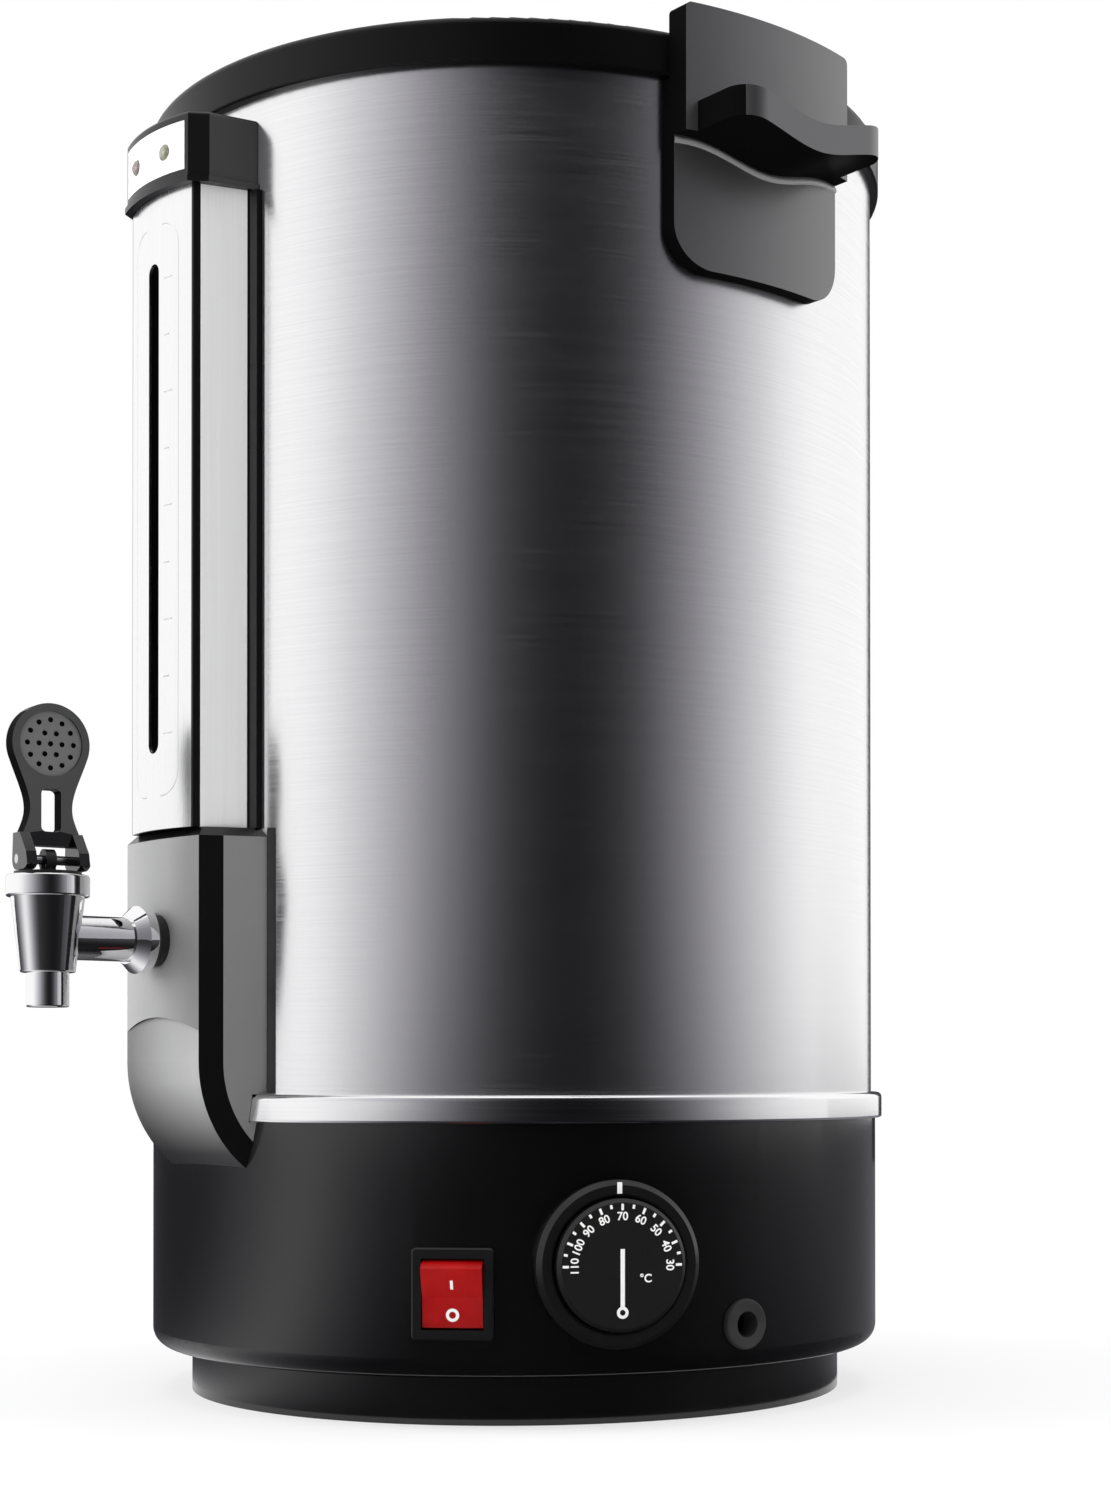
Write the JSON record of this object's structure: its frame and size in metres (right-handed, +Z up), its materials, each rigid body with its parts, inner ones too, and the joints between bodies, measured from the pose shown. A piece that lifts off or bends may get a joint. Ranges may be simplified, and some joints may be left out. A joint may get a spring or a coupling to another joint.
{
  "type": "hot water urn",
  "caption": "Round electric hot water urn: brushed steel tank on a black base, side handles, sight gauge column, lever tap, thermostat dial and rocker switch.",
  "frame": {"origin": "centre of the plinth's underside, on the surface the urn stands on", "axes": "+Z up, the gauge column and tap face -Y, the handles stand on +X and -X"},
  "size_m": [0.317, 0.3313, 0.4726],
  "materials": {
    "base_black": "satin black moulded plastic",
    "handle_black": "satin charcoal moulded plastic",
    "jacket_steel": "horizontally brushed stainless steel",
    "bright_steel": "polished stainless steel",
    "tank_steel": "plain stainless sheet",
    "tap_chrome": "bright chrome plate",
    "tap_black": "dark grey acetal",
    "screw_steel": "zinc-plated steel",
    "brass_nut": "plain brass",
    "silicone": "translucent white silicone",
    "black_rubber": "matt black rubber",
    "sight_glass": "clear glass",
    "dial_black": "semi-gloss black plastic",
    "switch_black": "gloss black nylon",
    "rocker_red": "translucent red plastic",
    "panel_white": "pale silver plastic",
    "lamp_red": "unlit smoky red lens",
    "lamp_amber": "unlit smoky amber lens",
    "heater_aluminium": "cast aluminium",
    "phenolic": "brown-black phenolic",
    "bulb_copper": "copper tube",
    "terminal_white": "white nylon"
  },
  "bodies": {
    "urn": {"base_housing": "base_black", "bottom_cover": "base_black", "gauge_frame": "base_black", "rim_ring": "base_black", "handle_right": "handle_black", "handle_left": "handle_black", "gauge_cap": "handle_black", "tap_housing": "handle_black", "outer_shell": "jacket_steel", "trim_ring": "bright_steel", "gauge_front_plate": "bright_steel", "gauge_side_right": "bright_steel", "gauge_side_left": "bright_steel", "inner_tank": "tank_steel", "heat_shield": "tank_steel", "tap_body": "tap_chrome", "tap_collar": "tap_chrome", "gauge_tee": "tap_black", "tap_washer": "tap_black", "shank_spacer": "tap_black", "cover_screws": "screw_steel", "base_screws": "screw_steel", "handle_screws": "screw_steel", "gauge_screws": "screw_steel", "shield_fixings": "screw_steel", "cutout_bracket": "screw_steel", "thermostat_nut": "screw_steel", "shank_nut": "brass_nut", "tube_seals": "silicone", "shank_seals": "silicone", "rubber_feet": "black_rubber", "cord_gland": "black_rubber", "sight_tube": "sight_glass", "dial_bezel": "dial_black", "switch_body": "switch_black", "lamp_panel": "panel_white", "heating_lamp": "lamp_red", "warm_lamp": "lamp_amber", "heater_plate": "heater_aluminium", "heater_element": "heater_aluminium", "thermostat_body": "phenolic", "thermal_cutout": "phenolic", "sensor_bulb": "bulb_copper", "terminal_block": "terminal_white"},
    "lid": {"lid_frame": "base_black", "lid_panel": "bright_steel", "lid_gasket": "silicone", "lid_knob": "handle_black", "lid_knob_screw": "screw_steel", "steam_vent": "base_black"},
    "dial": {"dial_knob": "dial_black", "thermostat_spindle": "screw_steel"},
    "rocker_cap": {"rocker": "rocker_red"},
    "tap_swivel": {"guide_bush": "tap_black"},
    "tap_valve": {"tap_stem": "screw_steel", "seat_plug": "silicone", "tap_spring": "screw_steel"},
    "tap_handle": {"tap_lever": "tap_black", "lever_pin": "screw_steel"}
  },
  "joints": [
    {"name": "lid_lift", "type": "slide", "parent": "urn", "child": "lid", "axis": [0, 0, 1], "range_m": [0, 0.06]},
    {"name": "dial_turn", "type": "hinge", "parent": "urn", "child": "dial", "pos_m": [0.12701, -0.05523, 0.052], "axis": [0.9171, -0.3987, 0], "range_deg": [-90, 180]},
    {"name": "rocker_tip", "type": "hinge", "parent": "urn", "child": "rocker_cap", "pos_m": [0.08822, -0.09136, 0.0429], "axis": [-0.7193, -0.6947, 0], "range_deg": [0, 24]},
    {"name": "tap_swivel_turn", "type": "hinge", "parent": "urn", "child": "tap_swivel", "pos_m": [0, -0.186, 0.1735], "axis": [0, 0, 1], "continuous": true},
    {"name": "stem_lift", "type": "slide", "parent": "tap_swivel", "child": "tap_valve", "axis": [0, 0, 1], "range_m": [0, 0.004], "deforming": ["tap_spring"]},
    {"name": "lever_tilt", "type": "hinge", "parent": "tap_valve", "child": "tap_handle", "pos_m": [0, -0.186, 0.1792], "axis": [0.0872, 0.9962, 0], "range_deg": [0, 40], "stiffness_Nm_per_rad": 0.3, "springref_deg": -14.32}
  ],
  "couplings": [
    {"joint": "stem_lift", "follows": "lever_tilt", "m_per_rad": 0.0057295}
  ]
}
